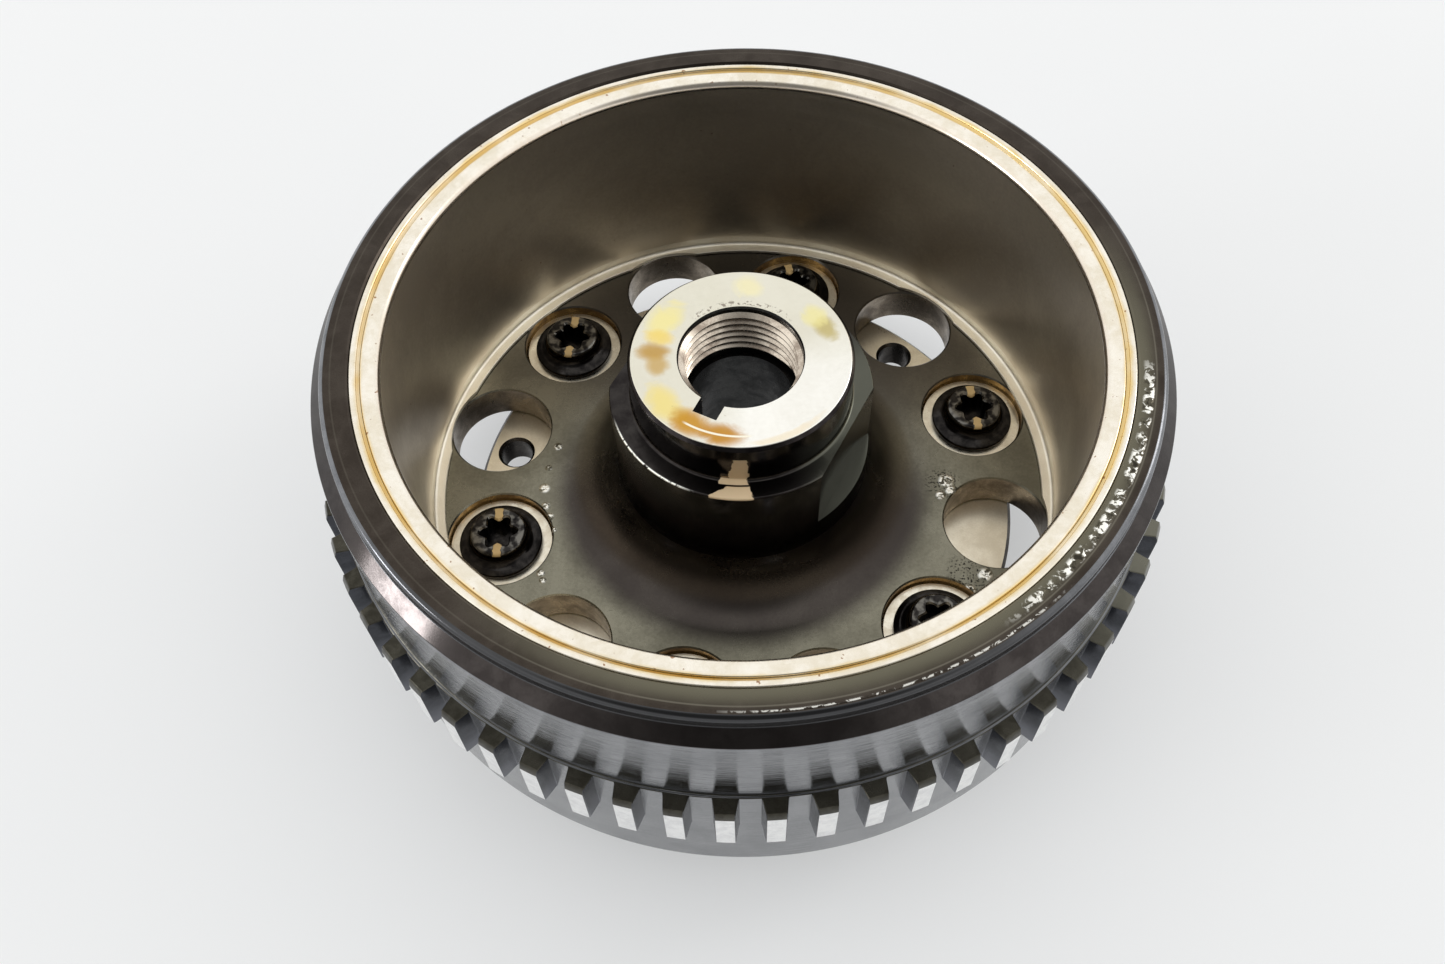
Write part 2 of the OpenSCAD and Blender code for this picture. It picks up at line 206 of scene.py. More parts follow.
class Shade:
    """Builds one Principled material; every constant goes straight on the shader's socket."""

    def __init__(self, name, **constants):
        self.material = bpy.data.materials.new(name)
        self.material.use_nodes = True
        self.tree = self.material.node_tree
        self.out = self.tree.nodes["Principled BSDF"]
        for socket, value in constants.items():
            self.out.inputs[socket.replace("_", " ")].default_value = value
        self.place = self.node("ShaderNodeTexCoord").outputs["Object"]

    def node(self, kind, inputs=(), **settings):
        n = self.tree.nodes.new(kind)
        for key, value in settings.items():
            setattr(n, key, value)
        for socket, value in dict(inputs).items():
            self.feed(n.inputs[socket], value)
        return n

    def feed(self, socket, value):
        if isinstance(value, bpy.types.NodeSocket):
            self.tree.links.new(value, socket)
        else:
            socket.default_value = value

    def math(self, operation, a, b=0.0, clamp=False):
        return self.node("ShaderNodeMath", {0: a, 1: b}, operation=operation, use_clamp=clamp).outputs[0]

    def xyz(self, vector=None):
        return self.node("ShaderNodeSeparateXYZ", {0: vector or self.place}).outputs

    def scaled(self, x=1.0, y=1.0, z=1.0):
        """The object's coordinates, in millimetres, stretched along each axis."""
        size = (x / MM, y / MM, z / MM)
        return self.node("ShaderNodeMapping", {"Vector": self.place, "Scale": size}).outputs[0]

    def radius(self):
        """Distance from the rotor's axis, in millimetres."""
        x, y, _ = self.xyz()
        flat = self.node("ShaderNodeCombineXYZ", {0: x, 1: y}).outputs[0]
        length = self.node("ShaderNodeVectorMath", {0: flat}, operation="LENGTH").outputs["Value"]
        return self.math("MULTIPLY", length, 1 / MM)

    def height(self):
        """Height over the standing face, in millimetres."""
        return self.math("MULTIPLY", self.xyz()[2], 1 / MM)

    def azimuth(self, zero=0.0):
        """Degrees round the axis from a zero direction, -180 to 180."""
        x, y, _ = self.xyz()
        c, s = math.cos(math.radians(zero)), math.sin(math.radians(zero))
        along = self.math("ADD", self.math("MULTIPLY", x, c), self.math("MULTIPLY", y, s))
        across = self.math("SUBTRACT", self.math("MULTIPLY", y, c), self.math("MULTIPLY", x, s))
        return self.math("MULTIPLY", self.math("ARCTAN2", across, along), 180 / math.pi)

    def noise(self, scale, vector=None, detail=4.0, rough=0.55, distortion=0.0):
        """Noise with features about 1 / scale millimetres across."""
        n = self.node("ShaderNodeTexNoise", {
            "Vector": vector or self.scaled(), "Scale": scale, "Detail": detail,
            "Roughness": rough, "Distortion": distortion})
        return n.outputs["Fac"]

    def steps(self, value, low, high):
        """0 below low, 1 above high, smooth between; low may be the larger one."""
        n = self.node("ShaderNodeMapRange", {0: value, 1: low, 2: high}, interpolation_type="SMOOTHSTEP")
        if low > high:
            n.inputs[1].default_value, n.inputs[2].default_value = high, low
            n.inputs[3].default_value, n.inputs[4].default_value = 1.0, 0.0
        return n.outputs[0]

    def spread(self, value, low, high):
        """Value 0 to 1 mapped to low to high."""
        return self.node("ShaderNodeMapRange", {0: value, 3: low, 4: high}).outputs[0]

    def near(self, value, centre, half, soft):
        """1 where value is within half of the centre, falling to 0 over soft."""
        away = self.math("ABSOLUTE", self.math("SUBTRACT", value, centre))
        return self.steps(away, half + soft, half)

    def times(self, first, *others):
        for other in others:
            first = self.math("MULTIPLY", first, other)
        return first

    def mix(self, fac, a, b):
        n = self.node("ShaderNodeMix", data_type="RGBA")
        for socket, value in ((n.inputs[0], fac), (n.inputs[6], a), (n.inputs[7], b)):
            self.feed(socket, (*value, 1.0) if isinstance(value, tuple) else value)
        return n.outputs[2]

    def bump(self, height, distance, strength=1.0, normal=None):
        """Bump from a 0 to 1 height, distance in millimetres."""
        inputs = {"Height": height, "Distance": distance * MM, "Strength": strength}
        if normal is not None:
            inputs["Normal"] = normal
        return self.node("ShaderNodeBump", inputs).outputs[0]

    def spots(self, places):
        """1 in round spots given as (radius, degrees, size), fading over half their size."""
        total = None
        x, y, _ = self.xyz()
        flat = self.node("ShaderNodeCombineXYZ", {0: x, 1: y}).outputs[0]
        for r, degrees, size in places:
            centre = (*[c * MM for c in polar(r, degrees)], 0.0)
            away = self.node("ShaderNodeVectorMath", {0: flat, 1: centre}, operation="DISTANCE")
            spot = self.steps(away.outputs["Value"], size * MM, size * MM * 0.5)
            total = spot if total is None else self.math("MAXIMUM", total, spot)
        return total

    def now(self, name):
        """What feeds one of the shader's sockets at this point."""
        return self.out.inputs[name].links[0].from_socket

    def tint(self, area, colour):
        """Lays a colour over the base where area is 1."""
        self.colour(self.mix(area, self.now("Base Color"), colour))

    def colour(self, value):
        self.feed(self.out.inputs["Base Color"], value)

    def roughness(self, value):
        self.feed(self.out.inputs["Roughness"], value)

    def normal(self, value):
        self.feed(self.out.inputs["Normal"], value)

    def rings(self, per_mm, wobble=0.15):
        """Lathe marks: fine noise along the radius, nearly the same all round."""
        r, z = self.radius(), self.height()
        x, y, _ = self.xyz(self.scaled(wobble, wobble, 0.0))
        v = self.node("ShaderNodeCombineXYZ", {0: self.math("ADD", r, z), 1: x, 2: y}).outputs[0]
        return self.noise(per_mm, v, detail=3.0, rough=0.7)


def metal(name, dark, light, rough=(0.25, 0.4), patch=0.12, grain=4.0, marks=0.5, mark_depth=0.02):
    """Metal whose tone, gloss and lathe marks vary over the surface."""
    s = Shade(name, Metallic=1.0)
    cloud = s.noise(patch, detail=6.0, rough=0.62, distortion=0.4)
    fine = s.noise(grain, detail=5.0)
    tone = s.math("ADD", s.math("MULTIPLY", cloud, 0.75), s.math("MULTIPLY", fine, 0.25))
    s.colour(s.mix(s.steps(tone, 0.36, 0.64), dark, light))
    s.roughness(s.spread(s.steps(tone, 0.3, 0.7), rough[1], rough[0]))
    relief = s.math("ADD", s.math("MULTIPLY", s.rings(2.5), marks), s.math("MULTIPLY", fine, 0.35))
    s.normal(s.bump(relief, mark_depth))
    return s


def painted_glints(s, area, scale=1.5, low=0.56):
    """Painted highlights standing in for glints of wet drops: small bright points in an area, dark oil
    between.
    """
    grain = s.noise(scale, detail=3.0, rough=0.6, distortion=0.6)
    s.tint(s.times(area, s.steps(grain, 0.46, 0.36), 0.8), (0.02, 0.018, 0.014))
    # Painted highlight: near-white points where light would glint off the wet drops.
    s.tint(s.times(area, s.steps(grain, low, low + 0.05)), (0.97, 0.96, 0.9))
    s.normal(s.bump(s.times(area, grain), 0.3, 0.8, s.now("Normal")))


def make_rim_top():
    s = metal("rim_top", (0.042, 0.034, 0.028), (0.066, 0.055, 0.046), (0.24, 0.34),
              patch=0.15, mark_depth=0.008)
    r = s.radius()
    # Painted light: the front of the top face is painted lighter olive towards the mouth ring, with a
    # painted highlight line at 62.6 mm.
    front = s.near(s.azimuth(-55.0), 0.0, 45.0, 35.0)
    s.tint(s.times(front, s.steps(r, 63.4, 60.4)), (0.14, 0.13, 0.095))
    highlight_line = s.near(r, 62.6, 0.05, 0.12)
    s.tint(s.times(highlight_line, s.spread(front, 0.15, 0.5)), (0.2, 0.185, 0.15))
    # Painted highlights: wet glints in a row at 61.5 mm on the right and along the outer edge at the front.
    ragged = s.noise(0.35, detail=4.0)
    right = s.near(s.azimuth(-31.0), 0.0, 18.0, 8.0)
    inner = s.times(right, s.near(r, 61.5, 0.4, 0.55), s.steps(ragged, 0.42, 0.5))
    middle = s.near(s.azimuth(-70.0), 0.0, 16.0, 9.0)
    outer = s.times(middle, s.near(r, 63.35, 0.05, 0.2), 0.7)
    painted_glints(s, s.math("MAXIMUM", inner, outer), 0.85, 0.5)
    return s.material


def make_rim_chamfer():
    return metal("rim_chamfer", (0.036, 0.031, 0.03), (0.058, 0.051, 0.049), (0.1, 0.2),
                 patch=0.25, mark_depth=0.006).material


def make_wall():
    s = metal("cup_wall", (0.175, 0.18, 0.19), (0.235, 0.24, 0.25), (0.06, 0.13), patch=0.12)
    s.normal(s.bump(s.rings(3.0, 0.01), 0.05))
    return s.material


def make_rim_edge():
    # Painted highlight: the rounded edge is a lighter copy of the rim's metal, for the line of light along
    # it.
    s = metal("rim_edge", (0.13, 0.135, 0.145), (0.2, 0.205, 0.22), (0.14, 0.24),
              patch=0.2, mark_depth=0.006)
    # Painted shade: the edge is painted dark at the front.
    s.tint(s.times(s.near(s.azimuth(-95.0), 0.0, 35.0, 25.0), 0.9), (0.05, 0.05, 0.052))
    return s.material


def make_tooth_top():
    s = metal("tooth_top", (0.04, 0.037, 0.029), (0.07, 0.066, 0.053), (0.25, 0.38),
              patch=0.4, mark_depth=0.008)
    s.tint(s.times(s.near(s.azimuth(-8.0), 0.0, 16.0, 24.0), 0.7), (0.19, 0.185, 0.15))
    return s.material


def make_tooth_side():
    s = metal("tooth_side", (0.02, 0.022, 0.028), (0.045, 0.048, 0.058), (0.14, 0.26),
              patch=0.3, mark_depth=0.004)
    foot = RIM_Z - TOOTH_TOP - TOOTH_H
    # Painted light: the flanks are painted lighter and bluish towards their foot.
    s.tint(s.times(s.steps(s.height(), foot + 7.0, foot), 0.8), (0.16, 0.165, 0.19))
    return s.material


def make_tooth_tip():
    return metal("tooth_tip", (0.78, 0.78, 0.78), (0.93, 0.93, 0.92), (0.3, 0.42),
                 patch=0.5, mark_depth=0.01).material


HUB_STAINS = (
    # degrees, half spread, radius, half band, colour, strength
    (-142.0, 20.0, 15.0, 3.0, (0.88, 0.72, 0.22), 0.8),
    (-122.0, 15.0, 15.0, 2.8, (0.58, 0.28, 0.01), 0.92),
    (-102.0, 16.0, 15.4, 2.4, (0.54, 0.24, 0.0), 0.92),
    (148.0, 18.0, 14.4, 3.2, (0.9, 0.8, 0.32), 0.8),
    (163.0, 8.0, 13.6, 3.0, (0.88, 0.66, 0.16), 0.8),
    (176.0, 9.0, 13.8, 3.4, (0.52, 0.3, 0.05), 0.88),
    (-172.0, 10.0, 13.2, 2.2, (0.56, 0.34, 0.06), 0.75),
    (22.0, 11.0, 14.8, 2.2, (0.52, 0.42, 0.13), 0.8),
    (33.0, 12.0, 14.3, 2.4, (0.86, 0.78, 0.34), 0.75),
    (84.0, 12.0, 14.4, 2.8, (0.92, 0.84, 0.46), 0.6),
    (-65.0, 26.0, 16.9, 0.8, (0.85, 0.68, 0.4), 0.45),
)


def make_hub_face():
    s = metal("hub_face", (0.88, 0.86, 0.8), (0.95, 0.935, 0.885), (0.2, 0.28),
              patch=0.08, grain=1.2, mark_depth=0.003)
    bright = s.near(s.azimuth(-50.0), 0.0, 30.0, 50.0)
    s.tint(s.spread(bright, 0.5, 0.0), (0.6, 0.56, 0.4))
    r = s.radius()
    ragged = s.math("SUBTRACT", s.noise(0.3, detail=5.0, rough=0.6, distortion=0.6), 0.5)
    for degrees, spread, centre, band, colour, strength in HUB_STAINS:
        turn = s.math("MULTIPLY", s.azimuth(degrees), 1 / spread)
        step = s.math("MULTIPLY", s.math("SUBTRACT", r, centre), 1 / band)
        along = s.math("ADD", turn, ragged)
        across = s.math("ADD", step, s.math("MULTIPLY", ragged, -0.8))
        away = s.math("ADD", s.times(along, along), s.times(across, across))
        s.tint(s.times(s.steps(away, 1.15, 0.05), strength), colour)
    arc_line = s.times(s.near(r, 15.5, 0.1, 0.16), s.near(s.azimuth(-105.0), 0.0, 17.0, 5.0))
    s.tint(arc_line, (0.95, 0.9, 0.75))
    s.tint(s.times(s.steps(s.noise(2.2, detail=2.0), 0.72, 0.77), 0.4), (0.4, 0.32, 0.18))
    scratched = s.times(s.near(r, 10.9, 0.2, 0.5), s.near(s.azimuth(88.0), 0.0, 40.0, 10.0))
    s.tint(s.times(scratched, s.steps(s.noise(1.5, detail=4.0), 0.52, 0.6), 0.7), (0.14, 0.1, 0.08))
    return s.material


def make_neck():
    s = metal("hub_neck", (0.018, 0.015, 0.015), (0.045, 0.04, 0.04), (0.1, 0.22),
              patch=0.3, mark_depth=0.006)
    return painted(s, hub_paint(s)).material


def hub_paint(s):
    """Where the cream paint dab lies: a patch on the neck, a thin band in the corner, the shoulder."""
    wander = s.math("MULTIPLY", s.math("SUBTRACT", s.noise(0.9, detail=3.0), 0.5), 4.0)
    turn = s.math("ADD", s.azimuth(-91.0), wander)
    depth = s.math("SUBTRACT", RIM_Z, s.height())
    low = s.steps(depth, 10.0, 15.6)
    from_middle = s.math("ABSOLUTE", s.math("ADD", turn, s.math("MULTIPLY", low, 0.8)))
    half = s.spread(low, 3.2, 5.0)
    stripe = s.steps(s.math("SUBTRACT", from_middle, half), 0.4, -0.2)
    on_neck = s.times(stripe, s.near(depth, 13.0, 2.5, 0.3), 0.75)
    r = s.radius()
    corner = s.times(s.near(turn, -3.2, 6.6, 0.6), s.near(r, 18.6, 0.4, 0.15), s.steps(depth, 14.9, 15.1))
    out = s.steps(r, 19.2, 21.7)
    middle = s.math("ADD", turn, s.math("MULTIPLY", out, 2.8))
    wide = s.spread(out, 5.4, 9.0)
    slant = s.math("SUBTRACT", s.math("ABSOLUTE", s.math("ADD", middle, 1.2)), wide)
    level = s.near(depth, SHOULDER, 0.35, 0.2)
    shoulder = s.times(s.steps(slant, 0.6, -0.2), s.steps(r, 19.3, 19.45), level)
    return s.math("MAXIMUM", on_neck, s.math("MAXIMUM", corner, shoulder))


def painted(s, area, tint=(0.78, 0.6, 0.38), rough=0.55):
    """Matt paint over a metal, where area is 1."""
    s.tint(area, tint)
    s.feed(s.out.inputs["Metallic"], s.math("SUBTRACT", 1.0, area))
    s.roughness(s.math("MAXIMUM", s.now("Roughness"), s.math("MULTIPLY", area, rough)))
    s.normal(s.bump(area, 0.08, 1.0, s.now("Normal")))
    return s


def make_shoulder():
    s = metal("hub_shoulder", (0.022, 0.019, 0.019), (0.045, 0.041, 0.039), (0.16, 0.26),
              patch=0.3, mark_depth=0.006)
    s.tint(s.times(s.near(s.azimuth(-15.0), 0.0, 25.0, 30.0), 0.8), (0.115, 0.118, 0.095))
    # Painted highlight: a ragged bright line on the barrel's rounded outer edge at the left front.
    edge = s.times(s.near(s.radius(), 21.55, 0.12, 0.14), s.near(s.azimuth(-137.0), 0.0, 16.0, 12.0))
    s.tint(s.times(edge, s.steps(s.noise(1.2, detail=3.0), 0.38, 0.5)), (0.9, 0.9, 0.84))
    return painted(s, hub_paint(s)).material


# Wet spots on the web, where painted highlights stand in for their glints: radius, degrees, size
BEAD_CHAIN_GLINTS = (
    (34.4, 169.0, 0.9), (35.2, 177.0, 0.7), (35.7, 184.0, 1.1), (35.7, 190.0, 0.9), (35.5, 194.0, 1.1),
    (35.4, 198.5, 0.8), (40.3, 209.5, 0.8), (40.6, 211.5, 0.7),
)
WET_PATCH_GLINTS = (
    (46.5, -27.0, 1.5), (47.9, -22.0, 1.1), (45.4, -32.0, 1.2),
    (36.6, -3.0, 1.6), (35.6, -8.0, 1.0), (37.4, -6.0, 1.2),
)
FRECKLED = ((44.0, -28.0, 5.0), (36.0, -4.0, 4.0))


def make_web():
    s = metal("web", (0.14, 0.132, 0.1), (0.235, 0.222, 0.172), (0.24, 0.34),
              patch=0.05, grain=2.0, mark_depth=0.006)
    # Painted shade: the far side of the web is painted darker.
    s.tint(s.times(s.near(s.azimuth(85.0), 0.0, 40.0, 50.0), 0.75), (0.07, 0.06, 0.055))
    # Painted shade: the corner round the hub is painted near black on the front half.
    fillet_shade = s.times(s.near(s.azimuth(-95.0), 0.0, 75.0, 45.0), s.steps(s.radius(), 36.0, 30.5))
    s.tint(s.times(fillet_shade, 0.85), (0.04, 0.032, 0.033))
    s.tint(s.times(s.steps(s.noise(2.0, detail=2.0), 0.66, 0.74), 0.35), (0.03, 0.028, 0.02))
    freckles = s.times(s.spots(FRECKLED), s.steps(s.noise(2.4, detail=3.0), 0.55, 0.6))
    s.tint(freckles, (0.02, 0.018, 0.015))
    # Painted highlights on the wet beads and patches.
    painted_glints(s, s.spots(BEAD_CHAIN_GLINTS + WET_PATCH_GLINTS), 1.2, 0.48)
    return s.material


def make_window_wall():
    return metal("window_wall", (0.16, 0.13, 0.1), (0.34, 0.29, 0.23), (0.24, 0.4), patch=0.3).material


def make_seat():
    return metal("screw_seat", (0.7, 0.63, 0.5), (0.85, 0.8, 0.68), (0.25, 0.4), patch=0.5).material


def make_seat_wall():
    return metal("seat_wall", (0.14, 0.08, 0.03), (0.42, 0.26, 0.09), (0.2, 0.4), patch=0.25).material


def make_bore():
    return metal("bore", (0.03, 0.03, 0.03), (0.07, 0.07, 0.068), (0.2, 0.4), patch=0.3).material


def make_thread():
    return metal("thread", (0.32, 0.26, 0.21), (0.72, 0.64, 0.54), (0.18, 0.32),
                 patch=0.25, mark_depth=0.004).material


def make_liner():
    s = metal("liner", (0.5, 0.44, 0.36), (0.62, 0.56, 0.46), (0.33, 0.42),
              patch=0.05, grain=1.5, mark_depth=0.004)
    streaks = s.noise(1.0, s.scaled(0.02, 0.02, 1.6), detail=5.0)
    s.roughness(s.math("ADD", s.now("Roughness"), s.spread(streaks, -0.05, 0.05)))
    s.tint(s.times(s.steps(s.noise(0.7, detail=3.0), 0.72, 0.76), 0.6), (0.2, 0.12, 0.06))
    # Painted light: the wall is painted lighter towards its foot, blending into the foot's cream.
    s.tint(s.times(s.steps(s.height(), RIM_Z - 33.0, RIM_Z - 39.0), 0.8), (0.86, 0.77, 0.62))
    return s.material


def make_cream():
    s = metal("cream_lip", (0.8, 0.73, 0.6), (0.93, 0.88, 0.79), (0.18, 0.26),
              patch=0.15, grain=1.0, mark_depth=0.002)
    r = s.radius()
    # Painted shade: the lip's inner roll is painted darker, pinkish grey.
    s.tint(s.times(s.steps(r, 56.3, 55.5), 0.7), (0.6, 0.52, 0.44))
    wander = s.math("MULTIPLY", s.math("SUBTRACT", s.noise(0.18, detail=4.0), 0.5), 1.2)
    groove = s.near(s.math("ADD", r, wander), 58.55, 0.15, 0.75)
    patchy = s.steps(s.noise(0.06, detail=3.0, rough=0.6), 0.3, 0.6)
    strong = s.spread(patchy, 0.35, 1.0)
    s.tint(s.times(groove, strong, s.steps(r, 57.2, 58.2)), (0.76, 0.58, 0.27))
    left = s.near(s.azimuth(170.0), 0.0, 90.0, 40.0)
    s.tint(s.times(s.near(r, 58.6, 0.05, 0.3), strong, s.spread(left, 0.25, 0.75)), (0.6, 0.36, 0.09))
    specks = s.times(s.steps(s.noise(0.9, detail=2.0), 0.7, 0.74), s.steps(r, 55.2, 56.0))
    s.tint(s.times(specks, 0.85), (0.3, 0.14, 0.05))
    return s.material


def make_liner_foot():
    return metal("liner_foot", (0.86, 0.79, 0.66), (0.95, 0.9, 0.78), (0.4, 0.5),
                 patch=0.1, mark_depth=0.004).material


def make_groove():
    return metal("groove_oil", (0.2, 0.11, 0.03), (0.5, 0.33, 0.14), (0.15, 0.35), patch=0.3).material


def make_housing():
    return metal("housing", (0.7, 0.63, 0.5), (0.86, 0.8, 0.67), (0.26, 0.4),
                 patch=0.12, marks=0.8, mark_depth=0.014).material


def make_housing_side():
    # Painted shade: the housing's sides and hole walls are painted near black.
    return metal("housing_side", (0.04, 0.036, 0.034), (0.09, 0.083, 0.077), (0.2, 0.38),
                 patch=0.2).material


def make_screw():
    s = metal("screw", (0.012, 0.011, 0.011), (0.035, 0.032, 0.03), (0.12, 0.28),
              patch=0.6, mark_depth=0.01)
    x, _, z = s.xyz(s.scaled())
    wander = s.math("MULTIPLY", s.math("SUBTRACT", s.noise(1.3), 0.5), 0.8)
    # Lighter mottled patches on the head's top.
    lighter_top = s.times(s.steps(z, 3.7, 4.1), s.steps(s.noise(0.45, detail=4.0), 0.42, 0.58), 0.8)
    s.tint(lighter_top, (0.2, 0.19, 0.17))
    stripe = s.times(s.near(s.math("ADD", x, wander), 0.0, 0.65, 0.12), s.steps(z, 3.6, 3.8))
    return painted(s, stripe, (0.72, 0.5, 0.22)).material


def make_clutch_steel(name, dark, light, rough=(0.2, 0.35)):
    return metal(name, dark, light, rough, patch=0.4, mark_depth=0.008).material


# ---------------------------------------------------------------- pieces

def forging_profile():
    taper_top = HUB_FACE + THREAD_LEN
    taper_end = TAPER_R + (BOSS_END - taper_top) / 10
    return [
        at(taper_end + 0.5, BOSS_END), at(BOSS_R - 0.5, BOSS_END), at(BOSS_R, BOSS_END - 0.5),
        at(BOSS_R, WEB_UNDER + 1), *arc(at(BOSS_R + 1, WEB_UNDER + 1), 1.0, 180, 90, 5),
        at(RIM_EDGE_R - 1, WEB_UNDER), at(RIM_EDGE_R, CUP_H), at(WALL_R - 0.6, CUP_H),
        *arc(at(WALL_R - 0.6, CUP_H - 0.6), 0.6, -90, 0, 5),
        at(WALL_R, TOOTH_TOP + 0.1), at(WALL_R - 0.1, TOOTH_TOP), at(RIM_R + 0.1, TOOTH_TOP),
        at(RIM_R, TOOTH_TOP - 0.1), at(RIM_R, CHAMFER_END),
        *arc(at(RIM_R - 0.5, CHAMFER_END), 0.5, 0, 38, 3),
        at(RIM_FACE_R + 0.1, RIM_STEP + 0.15), at(RIM_FACE_R, RIM_STEP),
        *arc(at(RIM_FACE_R - 1, 1), 1.0, 0, 90, 8),
        at(CUP_BORE_R + 0.3, 0), at(CUP_BORE_R, 0.3), at(CUP_BORE_R, WEB_TOP),
        *arc(at(BARREL_R + HUB_BLEND_R, WEB_TOP - HUB_BLEND_R), HUB_BLEND_R, 270, 180, 32),
        at(BARREL_R, SHOULDER + 0.35), *arc(at(BARREL_R - 0.35, SHOULDER + 0.35), 0.35, 0, 90, 4),
        *arc(at(NECK_R + 0.6, SHOULDER - 0.6), 0.6, 270, 180, 6),
        at(NECK_R, HUB_FACE + 0.6), at(HUB_FACE_R + 0.1, HUB_FACE + 0.05), at(HUB_FACE_R, HUB_FACE),
        at(THREAD_R + 0.2, HUB_FACE), at(THREAD_R, HUB_FACE + 0.4), at(THREAD_R, taper_top),
        at(TAPER_R, taper_top), at(taper_end, BOSS_END - 0.5),
    ]


def drawn_in(y, by):
    """A flank brought nearer to the tooth's middle; a point on the middle stays there."""
    return y - math.copysign(by, y) if y else 0.0


def tooth(degrees):
    """One trigger tooth with small broken edges, sunk into the wall."""
    half, root = 1.43, 1.85
    side = [(WALL_R - 1.5, root + 0.1), (WALL_R, root + 0.1), (WALL_R + 0.15, root)]
    side += [(TIP_R - 0.3, half + 0.06), (TIP_R - 0.02, half - 0.06)]
    outline = side + [(TIP_R, 0.0)] + [(x, -y) for x, y in side[::-1]]
    top = RIM_Z - TOOTH_TOP
    foot = top - TOOTH_H
    # Height, how far the tip draws back, how far the flanks draw in
    levels = (
        (foot, 0.15, 0.1), (foot + 0.15, 0.0, 0.0), (top - TIP_DROP, 0.0, 0.0),
        (top - 0.15, 0.45, 0.0), (top, 0.6, 0.1),
    )
    rings = []
    for z, back, narrow in levels:
        rings.append([(min(x, TIP_R - back), drawn_in(y, narrow), z) for x, y in outline])
    return turned(loft("tooth", rings), degrees)


def hole_profile(steps, low, high):
    """Profile of a stepped cutter on its own axis, from (radius, height) pairs going up."""
    return [(0.0, low), *steps, (0.0, high)]


def forging_cutters():
    top, under, seat = RIM_Z - WEB_TOP, RIM_Z - WEB_UNDER, RIM_Z - SEAT
    window = hole_profile([
        (WINDOW_R + 0.6, under - 0.3), (WINDOW_R, under + 0.3),
        (WINDOW_R, top - 0.25), (WINDOW_R + 0.5, top + 0.25),
    ], under - 0.3, top + 0.25)
    stepped = hole_profile([
        (SCREW_HOLE_R, under - 0.5), (SCREW_HOLE_R, seat), (COUNTERBORE_R - 0.3, seat),
        (COUNTERBORE_R, seat + 0.3), (COUNTERBORE_R, top - 0.25), (COUNTERBORE_R + 0.5, top + 0.25),
    ], under - 0.5, top + 0.25)
    cutters = [revolve("window", window, 128, polar(WINDOW_CIRCLE_R, WINDOW_TURN + 60 * k)) for k in SIX]
    cutters += [revolve("stepped", stepped, 128, polar(SCREW_CIRCLE_R, SCREW_TURN + 60 * k)) for k in SIX]
    flat = [(FLAT_D, -25), (40, -25), (40, 25), (FLAT_D, 25)]
    low, high = RIM_Z - FLAT_END, RIM_Z - HUB_FACE + 1
    cutters += [turned(prism("flat", flat, low, high), FLAT_TURN + side) for side in (0, 180)]
    key = [(0, -KEY_W / 2), (KEY_R, -KEY_W / 2), (KEY_R, KEY_W / 2), (0, KEY_W / 2)]
    cutters.append(turned(prism("key", key, RIM_Z - BOSS_END - 1, RIM_Z), KEY_TURN))
    return join("cutters", cutters)


FORGING_LOOKS = (
    ("rim_top", make_rim_top), ("rim_edge", make_rim_edge), ("rim_chamfer", make_rim_chamfer),
    ("wall", make_wall), ("tooth_top", make_tooth_top), ("tooth_side", make_tooth_side),
    ("tooth_tip", make_tooth_tip), ("hub_face", make_hub_face), ("neck", make_neck),
    ("shoulder", make_shoulder), ("web", make_web), ("window_wall", make_window_wall),
    ("seat", make_seat), ("seat_wall", make_seat_wall), ("bore", make_bore),
)


def forging_look(centre, normal):
    """Which finish a face of the forging has, from where it lies and where it points."""
    x, y, z = centre / MM
    r, depth = math.hypot(x, y), RIM_Z - z
    outwards = (normal.x * x + normal.y * y) / max(r, 1e-6)
    if r < key_reach(depth):
        return "bore"
    if r < BARREL_R + 0.2:
        if depth < HUB_FACE + 0.04:
            return "hub_face"
        if depth < SHOULDER - 0.5:
            return "neck"
        if normal.z > 0.3 and (depth < SHOULDER + 0.4 or abs(depth - FLAT_END) < 0.1):
            return "shoulder"
        return "neck" if depth < WEB_TOP else "web"
    if r < RIM_EDGE_R and normal.z < -0.9:
        return "web"
    near_window = near_hole(x, y, WINDOW_CIRCLE_R, WINDOW_TURN, WINDOW_R + 0.05)
    near_screw = near_hole(x, y, SCREW_CIRCLE_R, SCREW_TURN, COUNTERBORE_R + 0.05)
    if near_window and depth > WEB_TOP + 0.01:
        return "window_wall"
    if near_screw and depth > WEB_TOP + 0.01:
        return "seat" if normal.z > 0.5 and depth > SEAT - 0.1 else "seat_wall"
    if r < RIM_EDGE_R and depth > 5:
        return "web"
    if r > WALL_R + 0.02 and TOOTH_TOP - 0.05 < depth < TOOTH_TOP + TOOTH_H + 0.05:
        if normal.z > 0.5 or outwards > 0.85 and depth < TOOTH_TOP + TIP_DROP:
            return "tooth_top"
        return "tooth_tip" if outwards > 0.85 and r > TIP_R - 0.4 else "tooth_side"
    if depth < RIM_STEP + 0.1:
        return "rim_top" if normal.z > 0.97 or r < 61 else "rim_edge"
    if depth < CHAMFER_END - 0.2:
        return "rim_chamfer"
    return "tooth_top" if 0.3 < normal.z < 0.9 and abs(depth - TOOTH_TOP) < 0.2 else "wall"


def key_reach(depth):
    """Radius inside which the hub's surfaces belong to its bores."""
    return THREAD_R + 0.25 if depth < HUB_FACE + 0.02 else KEY_R + 0.1


def near_hole(x, y, circle_r, turn, reach):
    return any(math.dist((x, y), polar(circle_r, turn + 60 * k)) < reach for k in SIX)


